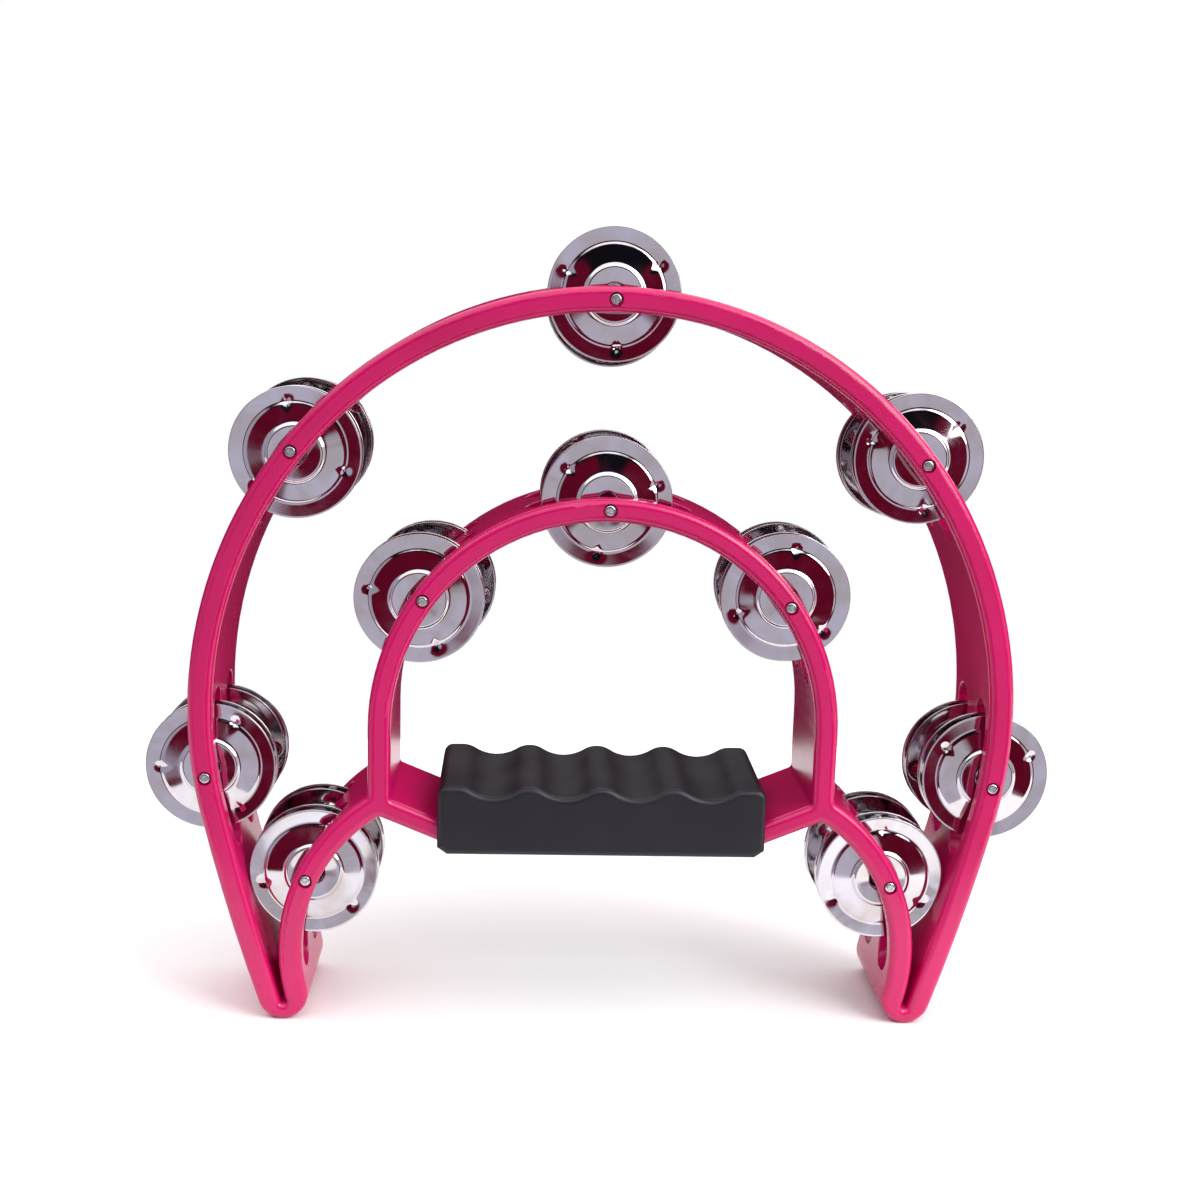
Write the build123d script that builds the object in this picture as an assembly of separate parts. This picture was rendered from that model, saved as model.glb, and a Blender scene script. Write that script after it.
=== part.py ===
from build123d import *
import os
from math import asin, atan2, copysign, cos, degrees, hypot, radians, sin

# Half-moon hand tambourine with two rows of jingles, in millimetres.
# +X is to the player's right, +Y runs from the front rim to the back rim and +Z is up.
# The origin is on the surface that the two feet stand on, midway between them.

# ---------------------------------------------------------------- driving sizes
DEPTH = 45.0                # front rim to back rim
ARCH_HALF_WIDTH = 125.0     # the outer arch is half an ellipse
ARCH_RISE = 130.0
ARCH_WALL = 7.4
FOOT_WALL = 6.5             # the arch thins to this where it runs into a foot
ARCH_END_DROP = 30.0        # how far below its centre the ellipse ends
WALL_LEAN = 17.0            # degrees from upright, where a side wall reaches its foot

FOOT_RADIUS = 7.7
LEG_CENTRE_X = 39.5         # each leg is an arc about a point under the grip
LEG_RADIUS = 55.5
LEG_WALL = 7.2
LEG_FOOT_ANGLE = -14.0      # degrees, the ray from the leg's centre through its foot
LEG_TOP_ANGLE = 57.5
POCKET_TIP_HEIGHT = 5.0     # plastic left under the slit between a leg and its wall

INNER_RADIUS = 67.8         # mid-line of the inner arch
INNER_WALL = 7.0
INNER_DROP = 3.0            # the inner arch's centre sits this far below the outer one's
JUNCTION_DROP = 27.0        # where inner arch, leg and handle bar meet
BAR_WALL = 6.4
BAR_FLAT_HALF = 47.0        # half the level stretch of the bar
BAR_DROP = 35.6
BAR_OVERRUN = 2.7           # how far the bar runs on into the junction
RIM_ROUND = 2.2
CORNER_ROUND = 1.5
SLIT_ROUND = 0.7
SLOT_ROUND = 0.4            # easing round the mouth of each slot

GRIP_HALF_LENGTH = 50.0
GRIP_DEPTH = 50.0
GRIP_BOTTOM_DROP = 41.2
GRIP_PARTING_DROP = 33.4
GRIP_CREST_DROP = 19.7
GROOVE_DEPTH = 3.2
GROOVE_PITCH = 22.0
GROOVE_COUNT = 4
GROOVE_RADIUS = 12.5
GRIP_ROUND = 1.8
GRIP_CORNER_ROUND = 3.0
GRIP_END_CUT = 3.0          # each bottom corner is cut off by this much
GRIP_END_CUT_RISE = 2.1
BAR_CLEARANCE = 0.1

SLOT_WIDTH = 11.5
SLOT_LENGTH = 50.0
LEG_SLOT_LENGTH = 53.0
LEG_SLOT_SHIFT = 2.5        # the leg slots reach a little further towards the foot
SLOT_SPACING = 22.0         # front slot centre to back slot centre
ARCH_PIN_ANGLES = (0.0, 50.6, 98.6)     # degrees from the top
INNER_PIN_ANGLES = (0.0, 54.3)
LEG_PIN_ANGLE = 24.4        # degrees up from level, about the leg's centre

PIN_RADIUS = 0.9
PIN_HEAD_RADIUS = 1.75
PIN_HEAD_HEIGHT = 1.1
PIN_CLEARANCE = 0.05
PIN_END_WALL = 2.5          # plastic left behind the pin's blind hole
RECESS_RADIUS = 2.2
RECESS_DEPTH = 1.3

JINGLE_SHEET = 0.5
# the outside of a jingle's dish as (radius, height over the rim plane), boss to rim
JINGLE_SECTION = ((3.0, 3.0), (5.6, 2.9), (7.8, 2.6), (9.0, 2.1), (14.7, 1.35), (15.2, 1.0), (19.7, 0.5))
RIM_GAP = 4.0               # between the two rims of a pair, at rest
# where the loose holes have let each station's jingles come to rest, in X and Z from the
# pin: its front pair, then its back pair
RESTS = {
    "arch_top": ((-0.2, 1.2), (0.0, -1.4)),
    "arch_upper_left": ((0.5, -1.0), (1.5, 0.1)),
    "arch_upper_right": ((-1.2, 1.2), (-1.5, -0.1)),
    "arch_lower_left": ((0.5, 1.6), (0.8, 1.0)),
    "arch_lower_right": ((-0.5, 1.6), (-0.8, -0.2)),
    "inner_top": ((-0.7, 1.5), (-0.9, 1.3)),
    "inner_left": ((-1.4, -0.7), (1.5, -0.2)),
    "inner_right": ((-0.6, 1.6), (0.0, 1.6)),
    "leg_left": ((1.7, 0.43), (1.7, 0.43)),
    "leg_right": ((-1.7, 0.43), (-1.7, 0.43)),
}
PAIR_PARTING = 0.3          # on the arches a pair's second jingle rests this much lower
JINGLE_LEAN = 1.4           # largest lean of a jingle, degrees
GOLDEN_ANGLE = 137.5

# ---------------------------------------------------------------- worked out from them
LEG_CENTRE_Z = FOOT_RADIUS - (LEG_RADIUS - LEG_WALL / 2 + FOOT_RADIUS) * sin(radians(LEG_FOOT_ANGLE))
FOOT_X = LEG_CENTRE_X + (LEG_RADIUS - LEG_WALL / 2 + FOOT_RADIUS) * cos(radians(LEG_FOOT_ANGLE))
ARCH_Z = 96.1               # height of the outer arch's centre
INNER_Z = ARCH_Z - INNER_DROP
JUNCTION_Z = ARCH_Z - JUNCTION_DROP
BAR_Z = ARCH_Z - BAR_DROP
GRIP_BOTTOM_Z = ARCH_Z - GRIP_BOTTOM_DROP
GRIP_PARTING_Z = ARCH_Z - GRIP_PARTING_DROP
GRIP_CREST_Z = ARCH_Z - GRIP_CREST_DROP
HALF_DEPTH = DEPTH / 2


def face_between(*edges):
    """A flat face inside a closed run of edges, upright in the XZ plane."""
    return Plane.XZ * make_face(Curve() + list(edges))


def on_xz(sketch):
    """A flat sketch stood up in the XZ plane."""
    return Plane.XZ * sketch


def disc(x, z, radius):
    return on_xz(Pos(x, z) * Circle(radius))


def thick(profile, depth):
    """A profile in the XZ plane thickened evenly to front and back."""
    return extrude(profile, amount=depth / 2, both=True)


# ---------------------------------------------------------------- the frame's outline
def arch_area(inset, foot_inset, bottom_z):
    """Everything under the arch: an ellipse on top, a slack arc down each side."""
    end_angle = degrees(asin(ARCH_END_DROP / ARCH_RISE))
    arch = EllipticalCenterArc(
        (0, ARCH_Z),
        ARCH_HALF_WIDTH - inset,
        ARCH_RISE - inset,
        start_angle=-end_angle,
        arc_size=180 + 2 * end_angle,
    )
    lean = radians(WALL_LEAN)
    foot_x = FOOT_X + (FOOT_RADIUS - foot_inset) * cos(lean)
    foot_z = FOOT_RADIUS - (FOOT_RADIUS - foot_inset) * sin(lean)
    tip_x = foot_x - (foot_z - bottom_z) * sin(lean) / cos(lean)
    right_side = TangentArc(arch @ 0, (foot_x, foot_z), tangent=-(arch % 0))
    edges = [arch, right_side, mirror(right_side, Plane.YZ)]
    if foot_z > bottom_z:
        end = Line((foot_x, foot_z), (tip_x, bottom_z))
        edges += [end, mirror(end, Plane.YZ)]
    edges.append(Line((-tip_x, bottom_z), (tip_x, bottom_z)))
    return face_between(*edges)


def ring_sector(x, z, radius, wall, start, end):
    """A curved band of one thickness about (x, z), between two angles in degrees."""
    outer = CenterArc((x, z), radius + wall / 2, start, end - start)
    inner = CenterArc((x, z), radius - wall / 2, start, end - start)
    return face_between(outer, inner, Line(outer @ 0, inner @ 0), Line(outer @ 1, inner @ 1))


def bar_area(wall):
    """The handle bar: level inside the grip, rising into the junction at each end."""
    slope = atan2(JUNCTION_Z - BAR_Z, INNER_RADIUS - BAR_FLAT_HALF)
    end_x = INNER_RADIUS + BAR_OVERRUN
    end_z = BAR_Z + (end_x - BAR_FLAT_HALF) * sin(slope) / cos(slope)
    half = wall / 2
    bend = half * sin(slope / 2) / cos(slope / 2)
    right = [
        (BAR_FLAT_HALF + bend, BAR_Z - half),
        (end_x + half * sin(slope), end_z - half * cos(slope)),
        (end_x - half * sin(slope), end_z + half * cos(slope)),
        (BAR_FLAT_HALF - bend, BAR_Z + half),
    ]
    left = [(-x, z) for x, z in reversed(right)]
    return on_xz(make_face(Polyline(*right, *left, close=True)))


def frame_profile():
    """Arch, inner arch, legs, feet and handle bar in one outline."""
    under_arch = arch_area(ARCH_WALL, FOOT_WALL, POCKET_TIP_HEIGHT)
    wall = arch_area(0, 0, FOOT_RADIUS * (1 - sin(radians(WALL_LEAN)))) - under_arch
    leg_outer = LEG_RADIUS + LEG_WALL / 2
    slits = under_arch
    profile = wall
    for side in (-1, 1):
        slits -= disc(side * LEG_CENTRE_X, LEG_CENTRE_Z, leg_outer)
        profile += disc(side * FOOT_X, FOOT_RADIUS, FOOT_RADIUS)
    profile -= slits
    right_leg = ring_sector(
        LEG_CENTRE_X, LEG_CENTRE_Z, LEG_RADIUS, LEG_WALL, LEG_FOOT_ANGLE, LEG_TOP_ANGLE
    )
    inner_arch = ring_sector(0, INNER_Z, INNER_RADIUS, INNER_WALL, 0, 180)
    side_height = INNER_Z - JUNCTION_Z
    right_side = on_xz(
        Pos(INNER_RADIUS, INNER_Z - side_height / 2) * Rectangle(INNER_WALL, side_height)
    )
    profile += right_leg + mirror(right_leg, Plane.YZ)
    profile += inner_arch + right_side + mirror(right_side, Plane.YZ)
    return profile + bar_area(BAR_WALL)


def is_at_junction(vertex):
    return hypot(abs(vertex.X) - INNER_RADIUS, vertex.Z - JUNCTION_Z) < INNER_WALL


def is_slit_tip(vertex):
    return abs(vertex.Z - POCKET_TIP_HEIGHT) < SLIT_ROUND / 2 and abs(vertex.X) > FOOT_X - FOOT_RADIUS / 2


def softened_profile():
    """The outline with its inside corners eased, so the rims can be rounded round them."""
    profile = frame_profile()
    profile = fillet(profile.vertices().filter_by(is_at_junction), CORNER_ROUND)
    return fillet(profile.vertices().filter_by(is_slit_tip), SLIT_ROUND)


def rounded_body():
    """The frame before its slots, with the front and back rims rounded."""
    body = thick(softened_profile(), DEPTH)
    faces = body.faces().sort_by(Axis.Y)
    return fillet(faces[0].edges() + faces[-1].edges(), RIM_ROUND)


# ---------------------------------------------------------------- jingle stations
class Station:
    """One pin's place on a band, with the band's direction, curve and thickness there."""

    def __init__(self, name, x, z, heading, band_radius, wall):
        self.name = name
        self.x = x
        self.z = z
        self.heading = heading
        self.band_radius = band_radius
        self.wall = wall
        self.on_leg = name.startswith("leg")

    def slot(self, y):
        """The cutter for one slot: a stadium, straight through along the pin's radius."""
        length = LEG_SLOT_LENGTH if self.on_leg else SLOT_LENGTH
        shift = copysign(LEG_SLOT_SHIFT, self.x) if self.on_leg else 0
        sag = (length / 2 + abs(shift)) ** 2 / (2 * self.band_radius)
        outer = self.wall / 2 + 1
        inner = self.wall / 2 + sag + 1
        along = (cos(self.heading), 0, sin(self.heading))
        outward = (-sin(self.heading), 0, cos(self.heading))
        plane = Plane((self.x, y, self.z), x_dir=along, z_dir=outward)
        stadium = Pos(shift, 0) * SlotOverall(length, SLOT_WIDTH)
        cutter = extrude(plane.offset(-inner) * stadium, amount=inner + outer)
        if self.on_leg:
            reach = disc(copysign(LEG_CENTRE_X, self.x), LEG_CENTRE_Z, LEG_RADIUS + self.wall / 2 + 1)
            cutter &= thick(reach, DEPTH)
        return cutter



def arch_station(name, angle):
    """A station on the outer arch's mid-line, by the ellipse's angle from the top."""
    across = ARCH_HALF_WIDTH - ARCH_WALL / 2
    up = ARCH_RISE - ARCH_WALL / 2
    turn = radians(angle)
    heading = atan2(-up * sin(turn), across * cos(turn))
    return Station(name, across * sin(turn), ARCH_Z + up * cos(turn), heading, across, ARCH_WALL)


def inner_station(name, angle):
    """A station on the inner arch, by its angle from the top."""
    turn = radians(angle)
    x = INNER_RADIUS * sin(turn)
    z = INNER_Z + INNER_RADIUS * cos(turn)
    return Station(name, x, z, -turn, INNER_RADIUS, INNER_WALL)


def leg_station(name, side):
    """A station on a leg; its heading runs down the right leg and up the left one."""
    turn = radians(LEG_PIN_ANGLE)
    x = side * (LEG_CENTRE_X + LEG_RADIUS * cos(turn))
    z = LEG_CENTRE_Z + LEG_RADIUS * sin(turn)
    return Station(name, x, z, -side * (radians(90) - turn), LEG_RADIUS, LEG_WALL)


def stations():
    """The ten stations: five on the arch, three on the inner arch, one on each leg."""
    found = [
        arch_station("arch_top", ARCH_PIN_ANGLES[0]),
        inner_station("inner_top", INNER_PIN_ANGLES[0]),
    ]
    for side, word in ((-1, "left"), (1, "right")):
        found.append(arch_station("arch_upper_" + word, side * ARCH_PIN_ANGLES[1]))
        found.append(arch_station("arch_lower_" + word, side * ARCH_PIN_ANGLES[2]))
        found.append(inner_station("inner_" + word, side * INNER_PIN_ANGLES[1]))
        found.append(leg_station("leg_" + word, side))
    return found


# ---------------------------------------------------------------- frame and pins
def upright_rod(x, z, radius, front, back):
    """A round rod along Y between two depths."""
    return Pos(x, (front + back) / 2, z) * Rot(90, 0, 0) * Cylinder(radius, back - front)


def is_slot_mouth(edge):
    """True for an edge round a slot's mouth, not for one running through the wall."""
    box = edge.bounding_box()
    in_the_slots = max(-box.min.Y, box.max.Y) < SLOT_SPACING / 2 + SLOT_WIDTH / 2 + SLOT_ROUND
    return in_the_slots and edge.geom_type != GeomType.LINE


def slotted_frame(places):
    """The one-piece plastic frame, with its jingle slots and its blind pin holes."""
    rows = (-SLOT_SPACING / 2, SLOT_SPACING / 2)
    body = rounded_body() - [place.slot(y) for place in places for y in rows]
    body = fillet(body.edges().filter_by(is_slot_mouth), SLOT_ROUND)
    front = -HALF_DEPTH - 1
    hole_end = HALF_DEPTH - PIN_END_WALL + PIN_CLEARANCE
    recess_end = RECESS_DEPTH - HALF_DEPTH
    holes = [upright_rod(place.x, place.z, PIN_RADIUS + PIN_CLEARANCE, front, hole_end) for place in places]
    recesses = [upright_rod(place.x, place.z, RECESS_RADIUS, front, recess_end) for place in places]
    return body - holes - recesses


def pin(place):
    """A thin steel pin with a domed head sunk in the front rim."""
    seat = RECESS_DEPTH - HALF_DEPTH
    head = upright_rod(0, 0, PIN_HEAD_RADIUS, seat - PIN_HEAD_HEIGHT, seat)
    head = fillet(head.edges().sort_by(Axis.Y)[0], PIN_HEAD_HEIGHT * 0.7)
    shank = upright_rod(0, 0, PIN_RADIUS, seat, HALF_DEPTH - PIN_END_WALL)
    return Pos(place.x, 0, place.z) * (head + shank)


# ---------------------------------------------------------------- jingles
def jingle():
    """A pressed cymbal with its rim plane at Y = 0 and its boss towards -Y."""
    outside = [(radius, -height) for radius, height in JINGLE_SECTION]
    inside = [(radius, JINGLE_SHEET - height) for radius, height in reversed(JINGLE_SECTION)]
    return revolve(make_face(Polyline(*outside, *inside, close=True)), Axis.Y)


def resting(disc_shape, place, slot_y, facing, count):
    """A jingle hung on its pin: facing -1 has its boss to the front, +1 to the back."""
    front_rest, back_rest = RESTS[place.name]
    across, up = front_rest if slot_y < 0 else back_rest
    if facing > 0 and not place.on_leg:
        up -= PAIR_PARTING
    turn = GOLDEN_ANGLE * count
    lean = JINGLE_LEAN * (count % 3) / 2
    y = slot_y + facing * RIM_GAP / 2
    tilt = Rot(0, turn, 0) * Rot(lean, 0, 0) * Rot(0, -turn, 0)
    around = Rot(0, 0, 90 + 90 * facing)
    return Pos(place.x + across, y, place.z + up) * tilt * around * disc_shape


def jingles(places):
    """All the jingles by name: a facing pair in the front slot and one in the back."""
    disc_shape = jingle()
    found = {}
    for place in places:
        for row, slot_y in (("front", -SLOT_SPACING / 2), ("back", SLOT_SPACING / 2)):
            for number, facing in ((1, -1), (2, 1)):
                name = f"jingle_{place.name}_{row}_{number}"
                found[name] = resting(disc_shape, place, slot_y, facing, len(found))
    return found


# ---------------------------------------------------------------- the two-part grip
def groove_arcs():
    """The wavy top of the grip: crest and groove arcs that run smoothly into each other."""
    swing = degrees(2 * atan2(GROOVE_DEPTH, GROOVE_PITCH / 2))
    crest_radius = GROOVE_PITCH / 2 / sin(radians(swing)) - GROOVE_RADIUS
    last = 2 * GROOVE_COUNT
    arcs = []
    for k in range(last + 1):
        x = (k - GROOVE_COUNT) * GROOVE_PITCH / 2
        if k % 2:
            groove_z = GRIP_CREST_Z - GROOVE_DEPTH + GROOVE_RADIUS
            arcs.append(CenterArc((x, groove_z), GROOVE_RADIUS, 270 - swing, 2 * swing))
        else:
            start = 90 if k == last else 90 - swing
            end = 90 if k == 0 else 90 + swing
            arcs.append(CenterArc((x, GRIP_CREST_Z - crest_radius), crest_radius, start, end - start))
    return arcs


def grip_profile():
    """The grip's outline: finger grooves along the top and the bottom corners cut."""
    end = GRIP_HALF_LENGTH
    crest = GROOVE_COUNT * GROOVE_PITCH / 2
    cut_top = GRIP_BOTTOM_Z + GRIP_END_CUT_RISE
    right = [(crest, GRIP_CREST_Z), (end, GRIP_CREST_Z), (end, cut_top), (end - GRIP_END_CUT, GRIP_BOTTOM_Z)]
    left = [(-x, z) for x, z in reversed(right)]
    face = face_between(*groove_arcs(), *Polyline(*right, *left).edges())
    return fillet(face.vertices().filter_by(is_grip_top_corner), GRIP_CORNER_ROUND)


def is_grip_top_corner(vertex):
    return abs(vertex.Z - GRIP_CREST_Z) < BAR_CLEARANCE and abs(abs(vertex.X) - GRIP_HALF_LENGTH) < 1


def grip_halves():
    """The grip's upper and lower shells, clamped round the bar."""
    grip = thick(grip_profile(), GRIP_DEPTH)
    faces = grip.faces().sort_by(Axis.Y)
    grip = fillet(faces[0].edges() + faces[-1].edges(), GRIP_ROUND)
    grip -= thick(bar_area(BAR_WALL + 2 * BAR_CLEARANCE), DEPTH + 2 * BAR_CLEARANCE)
    under = Box(3 * GRIP_HALF_LENGTH, 2 * GRIP_DEPTH, GRIP_DEPTH)
    under = Pos(0, 0, GRIP_PARTING_Z - GRIP_DEPTH / 2) * under
    return grip - under, grip & under


# ---------------------------------------------------------------- everything, one file each
def tambourine():
    """Every node by name."""
    places = stations()
    upper, lower = grip_halves()
    nodes = {"frame": slotted_frame(places), "grip_upper": upper, "grip_lower": lower}
    for place in places:
        nodes["pin_" + place.name] = pin(place)
    nodes.update(jingles(places))
    return nodes


os.makedirs("parts", exist_ok=True)
for node, shape in tambourine().items():
    export_step(shape, f"parts/{node}.step")
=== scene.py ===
import logging
import math
from dataclasses import dataclass, field
from enum import Enum

import bpy
import numpy as np
from mathutils import Matrix, Vector


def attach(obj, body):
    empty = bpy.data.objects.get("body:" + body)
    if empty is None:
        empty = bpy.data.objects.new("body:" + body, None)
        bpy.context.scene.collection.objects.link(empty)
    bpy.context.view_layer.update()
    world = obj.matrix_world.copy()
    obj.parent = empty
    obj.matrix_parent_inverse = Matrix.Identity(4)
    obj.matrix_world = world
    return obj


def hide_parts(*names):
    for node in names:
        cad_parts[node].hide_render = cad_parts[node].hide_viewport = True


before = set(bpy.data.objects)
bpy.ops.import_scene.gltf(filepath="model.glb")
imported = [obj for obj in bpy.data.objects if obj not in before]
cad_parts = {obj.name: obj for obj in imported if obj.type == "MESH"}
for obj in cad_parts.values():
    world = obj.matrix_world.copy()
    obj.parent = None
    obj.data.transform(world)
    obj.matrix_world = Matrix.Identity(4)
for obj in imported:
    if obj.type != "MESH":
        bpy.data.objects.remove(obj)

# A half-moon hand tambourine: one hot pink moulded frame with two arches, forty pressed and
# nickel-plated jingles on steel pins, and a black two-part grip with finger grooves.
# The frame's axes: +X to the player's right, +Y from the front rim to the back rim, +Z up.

MM = 0.001
FULL_TURN = 2 * math.pi
GOLDEN_TURN = math.radians(137.5)
DARK_END = 0.04045
LOG = logging.getLogger("tambourine")

Colour = tuple[float, float, float, float]
Place = tuple[float, float, float]
Span = tuple[float, float]
Material = bpy.types.Material
Node = bpy.types.Node
Piece = bpy.types.Object
Socket = bpy.types.NodeSocket
Tree = bpy.types.NodeTree


class Slot(Enum):
    """The record's material slots."""

    FRAME = "frame_plastic"
    GRIP = "grip_plastic"
    JINGLE = "jingle_metal"
    PIN = "pin_steel"


def linear(code: str) -> Colour:
    """Turn an sRGB hex colour into linear light.

    Each part is divided by 12.92 up to DARK_END, and above it is ((part + 0.055) / 1.055) ^ 2.4,
    which are the numbers of the sRGB standard.

    Args:
        code: six hex digits, red first.

    Returns:
        Red, green, blue and an alpha of one.
    """
    parts = [int(code[k:k + 2], 16) / 255 for k in (0, 2, 4)]
    lit = [p / 12.92 if p <= DARK_END else ((p + 0.055) / 1.055) ** 2.4 for p in parts]
    return (*lit, 1.0)


def add_node(tree: Tree, kind: str, settings: dict | None = None,
             inputs: dict | None = None) -> Node:
    """Add one node, with its settings, its values and its links.

    Args:
        tree: the node tree it joins.
        kind: the node's type name.
        settings: attribute name to value.
        inputs: socket name or number to a value, or to the output socket that feeds it.

    Returns:
        The new node.
    """
    node = tree.nodes.new(kind)
    for name, value in (settings or {}).items():
        setattr(node, name, value)
    for key, value in (inputs or {}).items():
        if isinstance(value, Socket):
            tree.links.new(value, node.inputs[key])
        else:
            node.inputs[key].default_value = value
    return node


def ramp(tree: Tree, source: Socket, stops: list[tuple[float, Colour]]) -> Socket:
    """Map a number onto colours through a colour ramp.

    Args:
        tree: the node tree.
        source: the number's socket.
        stops: the ramp's two places, from 0 to 1, and their linear colours.

    Returns:
        The colour's socket.
    """
    node = add_node(tree, "ShaderNodeValToRGB", inputs={"Fac": source})
    elements = node.color_ramp.elements
    for element, (place, colour) in zip(elements, stops):
        element.position = place
        element.color = colour
    return node.outputs["Color"]


def start_material(name: str) -> tuple[Material, Tree, Node]:
    """Make an empty principled material.

    Args:
        name: what the material really is, and how it was made.

    Returns:
        The material, its node tree and its shader node.
    """
    material = bpy.data.materials.new(name)
    material.use_nodes = True
    return material, material.node_tree, material.node_tree.nodes["Principled BSDF"]


@dataclass(frozen=True)
class GlossMouldedAbs:
    """Injection-moulded ABS, dyed hot pink right through and polished by the mould.

    The dye is strong, so light that bounces between two walls comes back redder. The skin has a
    slow orange-peel wave from shrinkage and faint hazy flow marks, and picks up fine rubs.
    """

    colour: str = "CF0C64"
    deep_colour: str = "C00A59"
    ior: float = 1.53
    roughness: tuple[float, float] = (0.20, 0.25)
    flow_mm: float = 45.0
    flow_span: Span = (0.35, 0.65)
    rub_mm: float = 1.4
    rub_span: Span = (0.35, 0.75)
    peel_mm: float = 5.0
    peel_depth_mm: float = 0.04
    peel_strength: float = 0.15

    def material(self) -> Material:
        """Build the material.

        Returns:
            The finished material.
        """
        made, tree, shader = start_material("abs_injection_moulded_gloss_pink")
        place = add_node(tree, "ShaderNodeTexCoord").outputs["Object"]
        flow = add_node(tree, "ShaderNodeTexNoise", inputs={
            "Vector": place, "Scale": 1 / (self.flow_mm * MM), "Detail": 3.0})
        rubs = add_node(tree, "ShaderNodeTexNoise", inputs={
            "Vector": place, "Scale": 1 / (self.rub_mm * MM), "Detail": 4.0, "Roughness": 0.7})
        colour = ramp(tree, flow.outputs["Fac"], list(zip(
            self.flow_span, (linear(self.deep_colour), linear(self.colour)))))
        worn = add_node(tree, "ShaderNodeMapRange", inputs={
            "Value": rubs.outputs["Fac"], "From Min": self.rub_span[0],
            "From Max": self.rub_span[1], "To Min": self.roughness[0],
            "To Max": self.roughness[1]})
        peel = add_node(tree, "ShaderNodeTexNoise", inputs={
            "Vector": place, "Scale": 1 / (self.peel_mm * MM), "Detail": 1.0})
        bump = add_node(tree, "ShaderNodeBump", inputs={
            "Height": peel.outputs["Fac"], "Strength": self.peel_strength,
            "Distance": self.peel_depth_mm * MM})
        tree.links.new(colour, shader.inputs["Base Color"])
        tree.links.new(worn.outputs["Result"], shader.inputs["Roughness"])
        tree.links.new(bump.outputs["Normal"], shader.inputs["Normal"])
        shader.inputs["IOR"].default_value = self.ior
        return made


@dataclass(frozen=True)
class SparkedGripPlastic:
    """Polypropylene moulded black in a spark-eroded tool: dull, with a fine even grain.

    The grain spreads highlights into a soft glow along the crests, and skin oil has polished
    the high spots a little.
    """

    colour: str = "0F0E19"
    grey_colour: str = "14131D"
    ior: float = 1.49
    roughness: tuple[float, float] = (0.40, 0.52)
    handling_mm: float = 14.0
    grey_span: Span = (0.35, 0.7)
    polish_span: Span = (0.3, 0.7)
    grain_mm: float = 0.45
    grain_depth_mm: float = 0.05
    grain_strength: float = 0.35

    def material(self) -> Material:
        """Build the material. The real 0.1 mm grain is drawn coarser, so that it shows.

        Returns:
            The finished material.
        """
        made, tree, shader = start_material("polypropylene_spark_textured_black")
        place = add_node(tree, "ShaderNodeTexCoord").outputs["Object"]
        handling = add_node(tree, "ShaderNodeTexNoise", inputs={
            "Vector": place, "Scale": 1 / (self.handling_mm * MM), "Detail": 3.0})
        grain = add_node(tree, "ShaderNodeTexNoise", inputs={
            "Vector": place, "Scale": 1 / (self.grain_mm * MM), "Detail": 2.0})
        colour = ramp(tree, handling.outputs["Fac"], list(zip(
            self.grey_span, (linear(self.colour), linear(self.grey_colour)))))
        worn = add_node(tree, "ShaderNodeMapRange", inputs={
            "Value": handling.outputs["Fac"], "From Min": self.polish_span[0],
            "From Max": self.polish_span[1], "To Min": self.roughness[0],
            "To Max": self.roughness[1]})
        bump = add_node(tree, "ShaderNodeBump", inputs={
            "Height": grain.outputs["Fac"], "Strength": self.grain_strength,
            "Distance": self.grain_depth_mm * MM})
        tree.links.new(colour, shader.inputs["Base Color"])
        tree.links.new(worn.outputs["Result"], shader.inputs["Roughness"])
        tree.links.new(bump.outputs["Normal"], shader.inputs["Normal"])
        shader.inputs["IOR"].default_value = self.ior
        return made


@dataclass(frozen=True)
class NickelPlatedSteel:
    """Thin steel sheet, pressed and then bright nickel-plated in a barrel.

    It is a mirror with a faint warm-to-lilac tint. Fine rings from polishing run round the
    middle, and handling leaves dull smears.
    """

    colour: str = "D2CFD8"
    warm_colour: str = "C4BEBC"
    roughness: tuple[float, float] = (0.05, 0.14)
    smear_mm: float = 9.0
    tint_span: Span = (0.35, 0.65)
    smear_span: Span = (0.45, 0.75)
    ring_mm: float = 0.35
    ring_depth_mm: float = 0.01
    ring_strength: float = 0.12

    def material(self) -> Material:
        """Build the material.

        Its rings follow the UV map's V, which is the distance from the middle in millimetres.

        Returns:
            The finished material.
        """
        made, tree, shader = start_material("steel_pressed_bright_nickel_plated")
        coords = add_node(tree, "ShaderNodeTexCoord")
        uv = add_node(tree, "ShaderNodeSeparateXYZ", inputs={"Vector": coords.outputs["UV"]})
        smears = add_node(tree, "ShaderNodeTexNoise", inputs={
            "Vector": coords.outputs["Object"], "Scale": 1 / (self.smear_mm * MM), "Detail": 3.0,
            "Distortion": 0.6})
        rings = add_node(tree, "ShaderNodeTexNoise", {"noise_dimensions": "1D"}, {
            "W": uv.outputs["Y"], "Scale": 1 / self.ring_mm, "Detail": 2.0})
        colour = ramp(tree, smears.outputs["Fac"], list(zip(
            self.tint_span, (linear(self.warm_colour), linear(self.colour)))))
        dulled = add_node(tree, "ShaderNodeMapRange", inputs={
            "Value": smears.outputs["Fac"], "From Min": self.smear_span[0],
            "From Max": self.smear_span[1], "To Min": self.roughness[0],
            "To Max": self.roughness[1]})
        bump = add_node(tree, "ShaderNodeBump", inputs={
            "Height": rings.outputs["Fac"], "Strength": self.ring_strength,
            "Distance": self.ring_depth_mm * MM})
        tree.links.new(colour, shader.inputs["Base Color"])
        tree.links.new(dulled.outputs["Result"], shader.inputs["Roughness"])
        tree.links.new(bump.outputs["Normal"], shader.inputs["Normal"])
        shader.inputs["Metallic"].default_value = 1.0
        return made


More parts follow.
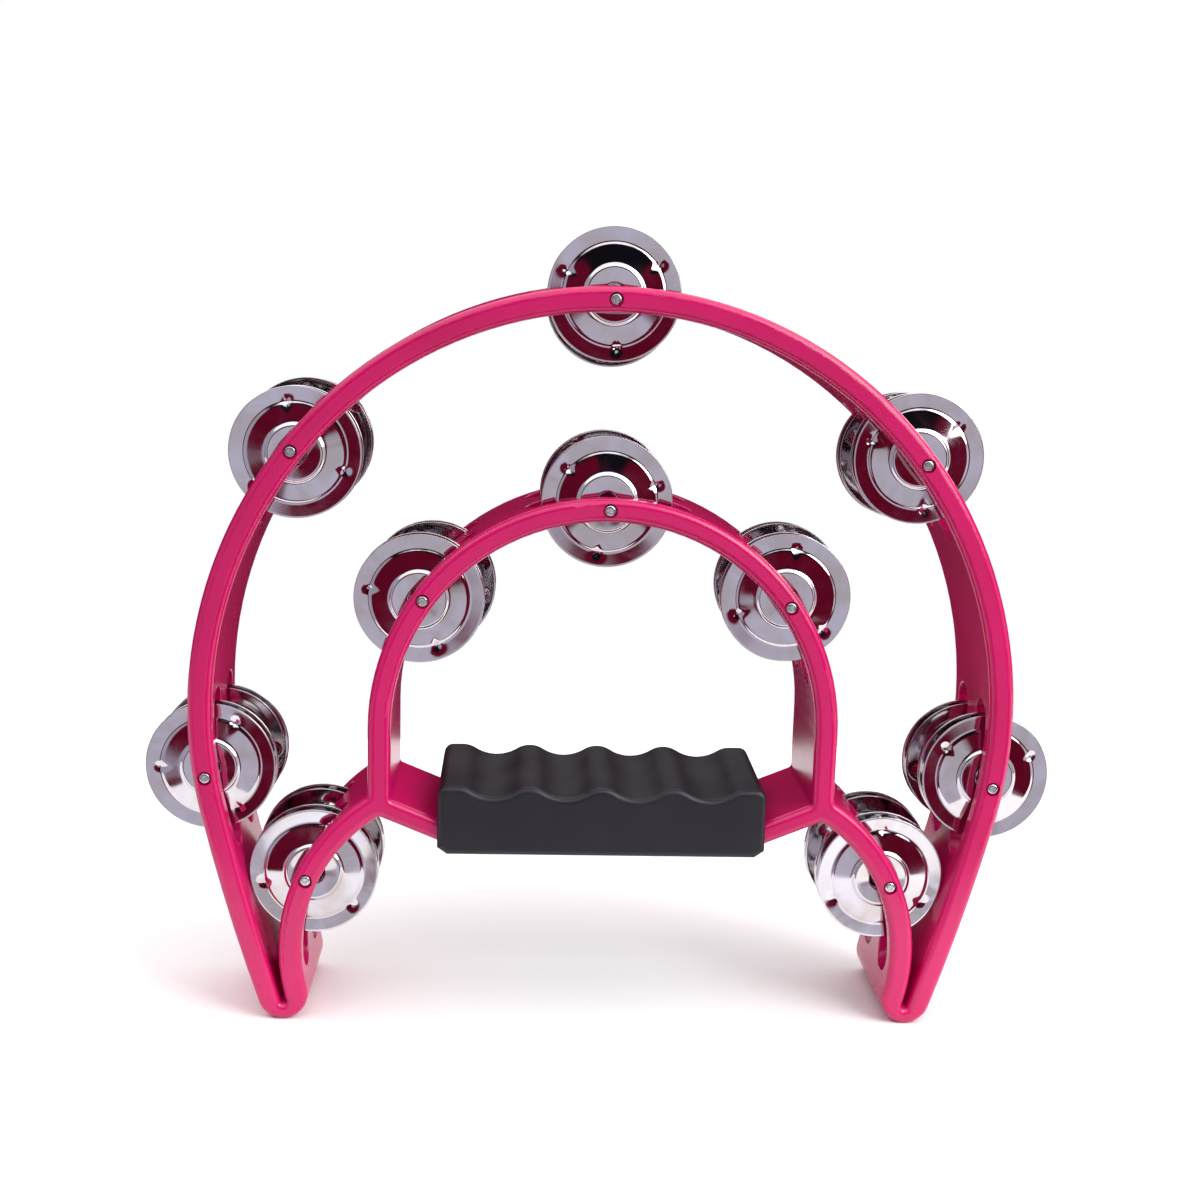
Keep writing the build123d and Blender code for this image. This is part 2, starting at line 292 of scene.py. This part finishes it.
@dataclass(frozen=True)
class DrawnPinSteel:
    """Plain steel wire with a cold-formed head: bright, with short scuffs from the press."""

    colour: str = "D6D8DA"
    dull_colour: str = "A6A8AC"
    roughness: float = 0.2
    scuff_mm: float = 0.6
    scuff_span: Span = (0.4, 0.6)

    def material(self) -> Material:
        """Build the material.

        Returns:
            The finished material.
        """
        made, tree, shader = start_material("steel_wire_cold_headed")
        place = add_node(tree, "ShaderNodeTexCoord").outputs["Object"]
        scuffs = add_node(tree, "ShaderNodeTexNoise", inputs={
            "Vector": place, "Scale": 1 / (self.scuff_mm * MM), "Detail": 3.0})
        colour = ramp(tree, scuffs.outputs["Fac"], list(zip(
            self.scuff_span, (linear(self.dull_colour), linear(self.colour)))))
        tree.links.new(colour, shader.inputs["Base Color"])
        shader.inputs["Metallic"].default_value = 1.0
        shader.inputs["Roughness"].default_value = self.roughness
        return made


@dataclass(frozen=True)
class MattPaint:
    """Matt emulsion on the studio's floor board: even, with a faint roller stipple."""

    name: str
    colour: str
    roughness: float = 0.9
    stipple_mm: float = 3.0
    stipple_depth_mm: float = 0.05
    stipple_strength: float = 0.05

    def material(self) -> Material:
        """Build the material.

        Returns:
            The finished material.
        """
        made, tree, shader = start_material(self.name)
        place = add_node(tree, "ShaderNodeTexCoord").outputs["Object"]
        stipple = add_node(tree, "ShaderNodeTexNoise", inputs={
            "Vector": place, "Scale": 1 / (self.stipple_mm * MM)})
        bump = add_node(tree, "ShaderNodeBump", inputs={
            "Height": stipple.outputs["Fac"], "Strength": self.stipple_strength,
            "Distance": self.stipple_depth_mm * MM})
        tree.links.new(bump.outputs["Normal"], shader.inputs["Normal"])
        shader.inputs["Base Color"].default_value = linear(self.colour)
        shader.inputs["Roughness"].default_value = self.roughness
        return made


def points_of(piece: Piece) -> np.ndarray:
    """Read a mesh's vertices.

    Args:
        piece: a mesh object at the origin.

    Returns:
        One row of x, y and z in metres for each vertex.
    """
    flat = np.zeros(len(piece.data.vertices) * 3, np.float32)
    piece.data.vertices.foreach_get("co", flat)
    return flat.reshape(-1, 3).astype(float)


def put_in_scene(name: str, data: bpy.types.ID) -> Piece:
    """Make an object at the origin, and link it.

    Args:
        name: the object's name.
        data: its mesh, light or camera.

    Returns:
        The new object.
    """
    piece = bpy.data.objects.new(name, data)
    bpy.context.scene.collection.objects.link(piece)
    return piece


def dress(name: str, slot: Slot, finish: Material) -> None:
    """Put one material on a CAD node, and report the piece.

    Args:
        name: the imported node's name.
        slot: the record's slot that the node has.
        finish: the material.
    """
    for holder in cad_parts[name].material_slots:
        holder.material = finish
    LOG.info("%s: %s on slot %s", name, finish.name, slot.value)


def grid_piece(name: str, points: np.ndarray, uv: np.ndarray, finish: Material) -> Piece:
    """Make a smooth mesh from a grid that closes on itself both ways.

    Each cell is a quad between neighbours along both parameters, and the last row and column
    join the first ones. The corners go along the rows' parameter first, so a section that runs
    outwards along its top, carried anticlockwise seen from above, has faces that point outwards.
    The UV map is given one row and column wider, so its seam is clean.

    Args:
        name: the piece's name.
        points: rows by columns by 3, in metres.
        uv: rows + 1 by columns + 1 by 2.
        finish: its material.

    Returns:
        The new object, at the origin.
    """
    rows, columns = points.shape[:2]
    r, c = np.meshgrid(np.arange(rows), np.arange(columns), indexing="ij")
    r1, c1 = (r + 1) % rows, (c + 1) % columns
    quads = np.stack([r * columns + c, r1 * columns + c, r1 * columns + c1, r * columns + c1], -1)
    corners = np.stack([uv[:-1, :-1], uv[1:, :-1], uv[1:, 1:], uv[:-1, 1:]], 2)
    mesh = bpy.data.meshes.new(name)
    mesh.from_pydata(points.reshape(-1, 3), [], quads.reshape(-1, 4).tolist())
    mesh.uv_layers.new(name="round_and_out").uv.foreach_set("vector", corners.ravel())
    mesh.shade_smooth()
    mesh.materials.append(finish)
    return put_in_scene(name, mesh)


@dataclass
class Jingle:
    """One pressed jingle: a ring turned up at its rim, a shallow cone, and a dished boss.

    Lengths are in millimetres. Heights are above the rim plane, on the boss side.
    """

    node: str
    spin: float
    rim_radius: float = 19.7
    hole_radius: float = 3.0
    sheet: float = 0.5
    rim_lift: float = 0.75
    ring_radius: float = 14.95
    ring_slope: float = -0.10
    ring_blend: float = 0.25
    ring_step: float = 0.32
    ring_bell: float = 0.35
    ring_bell_area: float = 0.62
    cone_slope: float = 0.17
    boss_radius: float = 8.6
    boss_slope: float = -0.08
    boss_blend: float = 0.35
    boss_step: float = 0.75
    boss_bell: float = 0.45
    boss_bell_area: float = 0.80
    dents: int = 3
    dent_radius: float = 15.4
    dent_length: float = 1.7
    dent_depth: float = 0.5
    dent_width: float = 0.75
    dent_widening: float = 0.2
    dent_widens_from: float = 13.0
    dent_widens_over: float = 6.0
    dent_floor: float = 0.02
    dent_crowding: float = 0.8
    close_rows_boss: float = 1.0
    close_rows_ring: Span = (1.4, 2.8)
    hole_inset: float = 0.1
    rim_inset: float = 0.22
    row_counts: tuple[int, ...] = (7, 9, 6, 15, 5)
    bend_degrees: tuple[float, ...] = (60.0, 20.0, -20.0, -60.0)
    around: int = 132
    height_samples: int = 600

    def height(self, radius: np.ndarray) -> np.ndarray:
        """The outside's height over the rim plane.

        Ring, cone and boss each have an even slope, and the ring's and the boss's run the
        other way from the cone's. A tanh of the distance over a blend length turns one slope
        into the next. A bell, exp(-(distance / width)^2), divided by its area, adds each of
        the two steps. The height is the sum of the slopes from the rim inwards, plus the sheet
        and the lift of the turned-up rim.

        Args:
            radius: distances from the middle.

        Returns:
            One height for each radius.
        """
        out = np.linspace(self.hole_radius, self.rim_radius, self.height_samples)
        past_ring, past_boss = out - self.ring_radius, out - self.boss_radius
        on_ring = 0.5 + 0.5 * np.tanh(past_ring / self.ring_blend)
        on_boss = 0.5 - 0.5 * np.tanh(past_boss / self.boss_blend)
        slope = (self.ring_slope * on_ring + self.cone_slope * (1 - on_ring - on_boss)
                 + self.boss_slope * on_boss)
        ring_bell = np.exp(-(past_ring / self.ring_bell) ** 2)
        boss_bell = np.exp(-(past_boss / self.boss_bell) ** 2)
        slope += self.ring_step / self.ring_bell_area * ring_bell
        slope += self.boss_step / self.boss_bell_area * boss_bell
        steps = np.diff(out, append=out[-1]) * slope
        rise = np.cumsum(steps[::-1])[::-1]
        return np.interp(radius, out, rise) + self.sheet + self.rim_lift

    def section(self) -> tuple[np.ndarray, np.ndarray, np.ndarray]:
        """The sheet's cut outline: outside from hole to rim, rim bend, inside back, hole bend.

        The rows lie closer together at the two steps. Both bends are part circles, half a sheet
        in radius, and the inside is the outside moved by one sheet towards the rim plane.

        Returns:
            Radius, height, and how much a dent moves each point.
        """
        boss, ring = self.boss_radius, self.ring_radius
        before, after = self.close_rows_ring
        stops = [self.hole_radius + self.hole_inset, boss - self.close_rows_boss,
                 boss + self.close_rows_boss, ring - before, ring + after,
                 self.rim_radius - self.rim_inset]
        spans = zip(stops, stops[1:], self.row_counts)
        rows = [np.linspace(low, high, count)[:-1] for low, high, count in spans]
        radii = np.append(np.concatenate(rows), stops[-1])
        outside = self.height(radii)
        bend = np.radians(np.array(self.bend_degrees))
        half = self.sheet / 2
        rim_r = self.rim_radius - half + half * np.cos(bend)
        rim_h = self.rim_lift + half + half * np.sin(bend)
        middle = float(self.height(np.array([self.hole_radius]))[0]) - half
        hole_r = self.hole_radius + half - half * np.cos(bend)
        hole_h = middle - half * np.sin(bend)
        radius = np.concatenate([radii, rim_r, radii[::-1], hole_r])
        height = np.concatenate([outside, rim_h, outside[::-1] - self.sheet, hole_h])
        return radius, height, np.exp(-((radius - self.dent_radius) / self.dent_length) ** 2)

    def surface(self) -> tuple[np.ndarray, np.ndarray]:
        """The whole skin as a grid: the section carried round the middle.

        The angle steps shrink near the dents: angle = t - crowding * sin(n t) / n for n dents.
        A dent is a bell in the radius times a bell across, narrower towards the middle, and it
        presses both skins towards the rim plane, but not past a small height above it.

        Returns:
            Points in millimetres, rows by columns by 3 with the axis along Z, and the UV map.
        """
        radius, height, dented = self.section()
        t = np.linspace(0, FULL_TURN, self.around, endpoint=False)
        angle = t - self.dent_crowding * np.sin(self.dents * t) / self.dents
        off = (angle * self.dents + math.pi) % FULL_TURN - math.pi
        across = radius[:, None] * off[None, :] / self.dents
        further_out = np.clip(radius - self.dent_widens_from, 0, self.dent_widens_over)
        width = self.dent_width + self.dent_widening * further_out[:, None]
        press = self.dent_depth * dented[:, None] * np.exp(-(across / width) ** 2)
        low = np.minimum(height[:, None], self.dent_floor)
        z = np.maximum(height[:, None] - press, low)
        turned = angle + self.spin
        x = radius[:, None] * np.cos(turned)
        y = radius[:, None] * np.sin(turned)
        points = np.stack([x, y, z], -1)
        v = np.append(radius, radius[0])[:, None] * np.ones(self.around + 1)
        u = np.append(angle, FULL_TURN) / FULL_TURN * np.ones(len(radius) + 1)[:, None]
        return points, np.stack([u, v], -1)

    def seat(self, cad: Piece) -> tuple[np.ndarray, np.ndarray]:
        """Where the CAD jingle lies: its flattest direction is the axis, pointing to the boss.

        The flattest direction is the last row of the singular value decomposition of its points
        about their mean. The boss is on the side where the points near the axis lie.

        Args:
            cad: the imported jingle.

        Returns:
            The rim plane's centre in metres, and three unit rows: across, along, axis.
        """
        points = points_of(cad)
        centre = points.mean(0)
        rows = np.linalg.svd(points - centre, full_matrices=False)[2]
        axis = rows[-1]
        along_axis = (points - centre) @ axis
        away = np.linalg.norm((points - centre) - along_axis[:, None] * axis, axis=1)
        boss_side = along_axis[away < np.median(away)].mean() - along_axis.mean()
        axis = axis if boss_side > 0 else -axis
        across = np.cross([0.0, 0.0, 1.0], axis)
        across /= np.linalg.norm(across)
        rows = np.stack([across, np.cross(axis, across), axis])
        seen = points @ rows.T
        low, high = seen.min(0), seen.max(0)
        base = np.array([(low[0] + high[0]) / 2, (low[1] + high[1]) / 2, low[2]]) @ rows
        return base, rows

    def build(self, finish: Material) -> Piece:
        """Make the jingle in its CAD twin's place.

        Args:
            finish: the plating.

        Returns:
            The new piece, riding on its own body.
        """
        points, uv = self.surface()
        base, rows = self.seat(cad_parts[self.node])
        placed = base + points * MM @ rows
        piece = grid_piece(self.node + "_pressed", placed, uv, finish)
        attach(piece, self.node)
        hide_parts(self.node)
        LOG.info("%s: %s on slot %s", piece.name, finish.name, Slot.JINGLE.value)
        return piece


@dataclass
class JingleSet:
    """All the jingles, each turned a little differently on its pin."""

    front_spins: dict[str, float] = field(default_factory=lambda: {
        "arch_top": 34.0, "arch_upper_left": 100.0, "arch_upper_right": 40.0,
        "arch_lower_left": 62.0, "arch_lower_right": 25.0, "inner_top": 20.0,
        "inner_left": 50.0, "inner_right": 80.0, "leg_left": 75.0, "leg_right": 88.0})

    def spin_of(self, node: str, count: int) -> float:
        """How far a jingle is turned on its pin.

        Args:
            node: its CAD name.
            count: its place in the order of building.

        Returns:
            An angle in radians: a chosen one for the foremost jingles, and a whole number of
            golden turns for the others.
        """
        station = node.removeprefix("jingle_").removesuffix("_front_1")
        if station in self.front_spins:
            return math.radians(self.front_spins[station])
        return count * GOLDEN_TURN

    def build(self) -> None:
        """Make every jingle that the frame holds."""
        finish = NickelPlatedSteel().material()
        names = sorted(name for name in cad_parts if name.startswith("jingle_"))
        for count, name in enumerate(names):
            Jingle(name, self.spin_of(name, count)).build(finish)
        LOG.info("jingles: %d pieces", len(names))


@dataclass
class Pins:
    """The ten steel pins, kept as the CAD has them."""

    finish: DrawnPinSteel = field(default_factory=DrawnPinSteel)

    def dress(self) -> None:
        """Give each pin its steel."""
        made = self.finish.material()
        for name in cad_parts:
            if name.startswith("pin_"):
                dress(name, Slot.PIN, made)


@dataclass
class PinkFrame:
    """The one-piece moulded frame."""

    finish: GlossMouldedAbs = field(default_factory=GlossMouldedAbs)

    def dress(self) -> None:
        """Give the frame its gloss plastic."""
        dress("frame", Slot.FRAME, self.finish.material())


@dataclass
class Grip:
    """The two shells of the grip."""

    finish: SparkedGripPlastic = field(default_factory=SparkedGripPlastic)

    def dress(self) -> None:
        """Give both shells their grained plastic."""
        made = self.finish.material()
        for name in ("grip_upper", "grip_lower"):
            dress(name, Slot.GRIP, made)


@dataclass(frozen=True)
class PaintedRoom:
    """The room that the metal mirrors, painted by direction with wavy edges.

    Behind the camera it is dim and dark red, with a pale table top low in the middle and a dark
    wall above. The ceiling glows, the far sides are pale and the far wall is dim. Each span is
    where a change of colour starts and ends along one part of the direction, and the table is
    an ellipse in x and z. The camera itself sees plain white.
    """

    wave_scale: float = 5.0
    wave_reach: Place = (0.24, 0.0, 0.24)
    table_shift: Place = (-0.53, 0.0, 0.55)
    table_scale: Place = (3.3, 0.0, 3.0)
    table_edge: Span = (0.9, 1.08)
    dark_wall: Span = (0.31, 0.37)
    left_side: Span = (-0.33, -0.43)
    right_side: Span = (0.84, 0.92)
    far_wall: Span = (-0.1, 0.1)
    ceiling: Span = (0.60, 0.72)
    glow_span: Span = (0.6, 0.8)
    glow: Span = (1.0, 1.7)
    table_colour: str = "D3CFDD"
    dim_colour: str = "6E0D2A"
    dark_wall_colour: str = "16141C"
    left_colour: str = "B9B6C6"
    right_colour: str = "E6E2E6"
    far_colour: str = "45202E"
    white: str = "FFFFFF"

    def world(self) -> bpy.types.World:
        """Build the world.

        Returns:
            The new world, with the room on it.
        """
        made = bpy.data.worlds.new("studio")
        made.use_nodes = True
        tree = made.node_tree
        background = tree.nodes["Background"]
        colour, height = self.colour_and_height(tree)
        glow = add_node(tree, "ShaderNodeMapRange", inputs={
            "Value": height, "From Min": self.glow_span[0], "From Max": self.glow_span[1],
            "To Min": self.glow[0], "To Max": self.glow[1]})
        tree.links.new(colour, background.inputs["Color"])
        tree.links.new(glow.outputs["Result"], background.inputs["Strength"])
        plain = add_node(tree, "ShaderNodeBackground", inputs={"Color": linear(self.white)})
        seen = add_node(tree, "ShaderNodeLightPath").outputs["Is Camera Ray"]
        both = add_node(tree, "ShaderNodeMixShader", inputs={
            0: seen, 1: background.outputs[0], 2: plain.outputs[0]})
        tree.links.new(both.outputs[0], tree.nodes["World Output"].inputs["Surface"])
        return made

    def colour_and_height(self, tree: Tree) -> tuple[Socket, Socket]:
        """Work out the room's colour in each direction.

        Args:
            tree: the world's node tree.

        Returns:
            The colour's socket, and the socket of the direction's height.
        """
        direction = add_node(tree, "ShaderNodeTexCoord").outputs["Generated"]
        wave = add_node(tree, "ShaderNodeTexNoise", inputs={
            "Vector": direction, "Scale": self.wave_scale, "Detail": 2.0})
        bent = add_node(tree, "ShaderNodeVectorMath", {"operation": "MULTIPLY_ADD"}, {
            0: wave.outputs["Color"], 1: self.wave_reach, 2: direction})
        parts = add_node(tree, "ShaderNodeSeparateXYZ", inputs={"Vector": bent.outputs[0]})
        x, y, z = (parts.outputs[axis] for axis in "XYZ")
        table = add_node(tree, "ShaderNodeMapping", {"vector_type": "POINT"}, {
            "Vector": bent.outputs[0], "Location": self.table_shift, "Scale": self.table_scale})
        reach = add_node(tree, "ShaderNodeVectorMath", {"operation": "LENGTH"}, {
            0: table.outputs["Vector"]})
        colour = self.blend(tree, reach.outputs["Value"], self.table_edge,
                            linear(self.table_colour), self.dim_colour)
        for value, span, above in (
                (z, self.dark_wall, self.dark_wall_colour),
                (x, self.left_side, self.left_colour),
                (x, self.right_side, self.right_colour),
                (y, self.far_wall, self.far_colour),
                (z, self.ceiling, self.white)):
            colour = self.blend(tree, value, span, colour, above)
        return colour, z

    def blend(self, tree: Tree, value: Socket, span: Span, below: Colour | Socket, above: str
              ) -> Socket:
        """Change smoothly from one colour to another as a number crosses a span.

        Args:
            tree: the node tree.
            value: the number's socket.
            span: where the change starts and where it ends.
            below: the colour before it, linear or a socket.
            above: the hex colour after it.

        Returns:
            The mixed colour's socket.
        """
        factor = add_node(tree, "ShaderNodeMapRange", {"interpolation_type": "SMOOTHSTEP"}, {
            "Value": value, "From Min": span[0], "From Max": span[1]})
        mix = add_node(tree, "ShaderNodeMix", {"data_type": "RGBA"}, {
            0: factor.outputs["Result"], 6: below, 7: linear(above)})
        return mix.outputs[2]


@dataclass(frozen=True)
class SoftLamp:
    """A square soft lamp. Lengths are in metres and the power is in watts."""

    name: str
    place: Place
    size: float
    power: float

    def hang(self, aim: Place) -> None:
        """Hang the lamp so that it faces a point.

        Args:
            aim: the point.
        """
        data = bpy.data.lights.new(self.name, "AREA")
        data.size = self.size
        data.energy = self.power
        lamp = put_in_scene(self.name, data)
        lamp.location = self.place
        lamp.rotation_euler = (Vector(self.place) - Vector(aim)).to_track_quat("Z", "Y").to_euler()


@dataclass
class Studio:
    """Floor, room, lamps and camera. Lengths are in metres and angles in degrees."""

    camera_place: Place = (-0.0258, -0.5237, 0.2309)
    camera_yaw: float = 2.673
    camera_down: float = 10.907
    camera_roll: float = 1.577
    lens_mm: float = 51.57
    sensor_mm: float = 36.0
    floor_half_width: float = 0.7
    floor_front: float = -0.142
    floor_back: float = 0.3
    lamp_aim: Place = (0.0, 0.0, 0.12)
    lamps: tuple[SoftLamp, ...] = (
        SoftLamp("key", (0.9, -0.6, 1.0), 1.0, 8.0),
        SoftLamp("side", (0.6, -0.5, 0.5), 0.5, 3.0),
    )

    def lay_floor(self) -> None:
        """Lay the pale floor under the feet."""
        side, front, back = self.floor_half_width, self.floor_front, self.floor_back
        corners = [(-side, front, 0), (side, front, 0), (side, back, 0), (-side, back, 0)]
        mesh = bpy.data.meshes.new("floor")
        mesh.from_pydata(corners, [], [(0, 1, 2, 3)])
        mesh.materials.append(MattPaint("floor_board_matt_emulsion_white", "FBFBFB").material())
        floor = put_in_scene("floor", mesh)

    def light(self) -> None:
        """Put the room round the object, and hang the soft lamps at the right."""
        bpy.context.scene.world = PaintedRoom().world()
        for lamp in self.lamps:
            lamp.hang(self.lamp_aim)

    def set_camera(self) -> None:
        """Stand the camera at about the height of the arch's top, looking slightly down."""
        data = bpy.data.cameras.new("camera")
        data.sensor_width = self.sensor_mm
        data.lens = self.lens_mm
        camera = put_in_scene("camera", data)
        turn = (Matrix.Rotation(-math.radians(self.camera_yaw), 4, "Z")
                @ Matrix.Rotation(math.radians(90 - self.camera_down), 4, "X")
                @ Matrix.Rotation(math.radians(self.camera_roll), 4, "Z"))
        camera.matrix_world = Matrix.Translation(self.camera_place) @ turn
        bpy.context.scene.camera = camera
        bpy.context.scene.view_settings.view_transform = "Standard"


def main() -> None:
    """Build and dress the tambourine, then the studio around it."""
    logging.basicConfig(level=logging.INFO, format="%(name)s: %(message)s")
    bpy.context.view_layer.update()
    PinkFrame().dress()
    Grip().dress()
    Pins().dress()
    JingleSet().build()
    studio = Studio()
    studio.lay_floor()
    studio.light()
    studio.set_camera()


if __name__ == "__main__":
    main()
